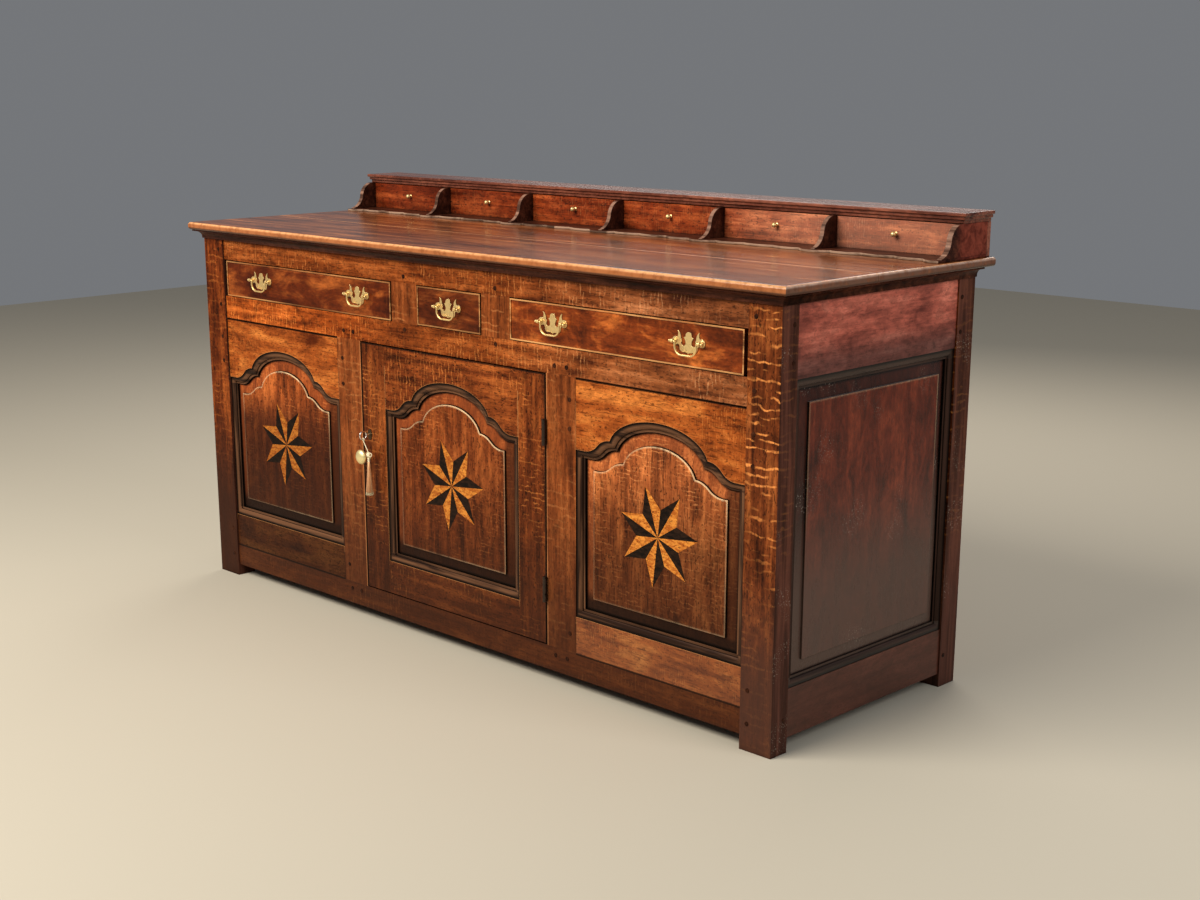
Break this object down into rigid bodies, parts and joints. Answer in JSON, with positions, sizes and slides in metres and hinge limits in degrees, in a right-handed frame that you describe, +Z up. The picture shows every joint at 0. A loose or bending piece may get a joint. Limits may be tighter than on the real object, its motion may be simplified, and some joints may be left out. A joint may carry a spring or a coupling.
{
  "type": "kitchen dresser",
  "caption": "Low oak dresser base with drawers on swan-neck brass handles, a cupboard door between fixed ogee-arched panels with star inlay, and a gallery of spice drawers.",
  "frame": {"origin": "centre of the footprint at floor level", "axes": "+X along the front to the right, +Y from the front to the back, +Z up; the doors and drawers face -Y"},
  "size_m": [1.834, 0.654, 0.964],
  "materials": {
    "oak_frame": "waxed red-brown oak with bright rays",
    "oak_panel": "waxed oak, darker in the hollows",
    "oak_top": "polished oak, worn on the nosing",
    "oak_gallery": "dark waxed oak with worn edges",
    "oak_drawer": "waxed flecked oak",
    "oak_inside": "unpolished oak",
    "oak_peg": "dark end grain",
    "bog_oak": "black-brown inlay",
    "satinwood": "golden inlay",
    "brass": "polished, darker in the corners",
    "steel": "worn iron",
    "silk": "twisted silk"
  },
  "bodies": {
    "carcase": {"corner_posts": "oak_frame", "front_rails": "oak_frame", "front_muntins": "oak_frame", "panel_rails": "oak_frame", "end_rails": "oak_frame", "fixed_panels": "oak_panel", "fixed_stars_dark": "bog_oak", "fixed_stars_light": "satinwood", "end_panels": "oak_panel", "back_rails": "oak_inside", "back_boards": "oak_inside", "pegs": "oak_peg", "floor_bearers": "oak_inside", "floor_boards": "oak_inside", "drawer_runners": "oak_inside", "top_boards": "oak_top", "cornice_mouldings": "oak_top", "gallery_base": "oak_gallery", "gallery_brackets": "oak_gallery", "gallery_shelf": "oak_gallery", "gallery_back": "oak_gallery", "frame_hinge_leaves": "brass"},
    "left_drawer": {"left_drawer_front": "oak_drawer", "left_drawer_box": "oak_inside", "left_drawer_handles": "brass"},
    "centre_drawer": {"centre_drawer_front": "oak_drawer", "centre_drawer_box": "oak_inside", "centre_drawer_handles": "brass"},
    "right_drawer": {"right_drawer_front": "oak_drawer", "right_drawer_box": "oak_inside", "right_drawer_handles": "brass"},
    "left_drawer_bail_1": {"left_drawer_bail_1": "brass"},
    "left_drawer_bail_2": {"left_drawer_bail_2": "brass"},
    "centre_drawer_bail": {"centre_drawer_bail": "brass"},
    "right_drawer_bail_1": {"right_drawer_bail_1": "brass"},
    "right_drawer_bail_2": {"right_drawer_bail_2": "brass"},
    "spice_drawer_1": {"spice_drawer_1": "oak_drawer", "spice_knob_1": "brass"},
    "spice_drawer_2": {"spice_drawer_2": "oak_drawer", "spice_knob_2": "brass"},
    "spice_drawer_3": {"spice_drawer_3": "oak_drawer", "spice_knob_3": "brass"},
    "spice_drawer_4": {"spice_drawer_4": "oak_drawer", "spice_knob_4": "brass"},
    "spice_drawer_5": {"spice_drawer_5": "oak_drawer", "spice_knob_5": "brass"},
    "spice_drawer_6": {"spice_drawer_6": "oak_drawer", "spice_knob_6": "brass"},
    "door": {"door_frame": "oak_frame", "door_panel": "oak_panel", "door_star_dark": "bog_oak", "door_star_light": "satinwood", "door_hinge_leaves": "brass", "lock_case": "steel", "keyhole_escutcheon": "brass"},
    "turn_knob": {"turn_knob": "brass"},
    "key": {"key": "steel"},
    "lock_bolt": {"lock_bolt": "steel"},
    "tassel": {"tassel_cord": "silk", "tassel": "silk"}
  },
  "joints": [
    {"name": "left_drawer_slide", "type": "slide", "parent": "carcase", "child": "left_drawer", "axis": [0, -1, 0], "range_m": [0, 0.38]},
    {"name": "centre_drawer_slide", "type": "slide", "parent": "carcase", "child": "centre_drawer", "axis": [0, -1, 0], "range_m": [0, 0.38]},
    {"name": "right_drawer_slide", "type": "slide", "parent": "carcase", "child": "right_drawer", "axis": [0, -1, 0], "range_m": [0, 0.38]},
    {"name": "left_drawer_bail_1_swing", "type": "hinge", "parent": "left_drawer", "child": "left_drawer_bail_1", "pos_m": [-0.664, -0.306, 0.75], "axis": [-1, 0, 0], "range_deg": [0, 85]},
    {"name": "left_drawer_bail_2_swing", "type": "hinge", "parent": "left_drawer", "child": "left_drawer_bail_2", "pos_m": [-0.3, -0.306, 0.75], "axis": [-1, 0, 0], "range_deg": [0, 85]},
    {"name": "centre_drawer_bail_swing", "type": "hinge", "parent": "centre_drawer", "child": "centre_drawer_bail", "pos_m": [0.005, -0.306, 0.75], "axis": [-1, 0, 0], "range_deg": [0, 85]},
    {"name": "right_drawer_bail_1_swing", "type": "hinge", "parent": "right_drawer", "child": "right_drawer_bail_1", "pos_m": [0.318, -0.306, 0.75], "axis": [-1, 0, 0], "range_deg": [0, 85]},
    {"name": "right_drawer_bail_2_swing", "type": "hinge", "parent": "right_drawer", "child": "right_drawer_bail_2", "pos_m": [0.673, -0.306, 0.75], "axis": [-1, 0, 0], "range_deg": [0, 85]},
    {"name": "spice_drawer_1_slide", "type": "slide", "parent": "carcase", "child": "spice_drawer_1", "axis": [0, -1, 0], "range_m": [0, 0.055]},
    {"name": "spice_drawer_2_slide", "type": "slide", "parent": "carcase", "child": "spice_drawer_2", "axis": [0, -1, 0], "range_m": [0, 0.055]},
    {"name": "spice_drawer_3_slide", "type": "slide", "parent": "carcase", "child": "spice_drawer_3", "axis": [0, -1, 0], "range_m": [0, 0.055]},
    {"name": "spice_drawer_4_slide", "type": "slide", "parent": "carcase", "child": "spice_drawer_4", "axis": [0, -1, 0], "range_m": [0, 0.055]},
    {"name": "spice_drawer_5_slide", "type": "slide", "parent": "carcase", "child": "spice_drawer_5", "axis": [0, -1, 0], "range_m": [0, 0.055]},
    {"name": "spice_drawer_6_slide", "type": "slide", "parent": "carcase", "child": "spice_drawer_6", "axis": [0, -1, 0], "range_m": [0, 0.055]},
    {"name": "door_hinge", "type": "hinge", "parent": "carcase", "child": "door", "pos_m": [0.29475, -0.3008, 0.364], "axis": [0, 0, 1], "range_deg": [0, 150]},
    {"name": "knob_turn", "type": "hinge", "parent": "door", "child": "turn_knob", "pos_m": [-0.279, -0.296, 0.39], "axis": [0, 1, 0], "range_deg": [0, 90]},
    {"name": "key_turn", "type": "hinge", "parent": "door", "child": "key", "pos_m": [-0.271, -0.296, 0.44], "axis": [0, -1, 0], "range_deg": [0, 90]},
    {"name": "bolt_slide", "type": "slide", "parent": "door", "child": "lock_bolt", "axis": [-1, 0, 0], "range_m": [0, 0.012]},
    {"name": "tassel_hang", "type": "hinge", "parent": "key", "child": "tassel", "pos_m": [-0.271, -0.316, 0.431], "axis": [0, -1, 0], "range_deg": [-90, 0]}
  ],
  "couplings": [
    {"joint": "bolt_slide", "follows": "key_turn", "m_per_rad": 0.00763},
    {"joint": "tassel_hang", "follows": "key_turn", "ratio": -1}
  ]
}
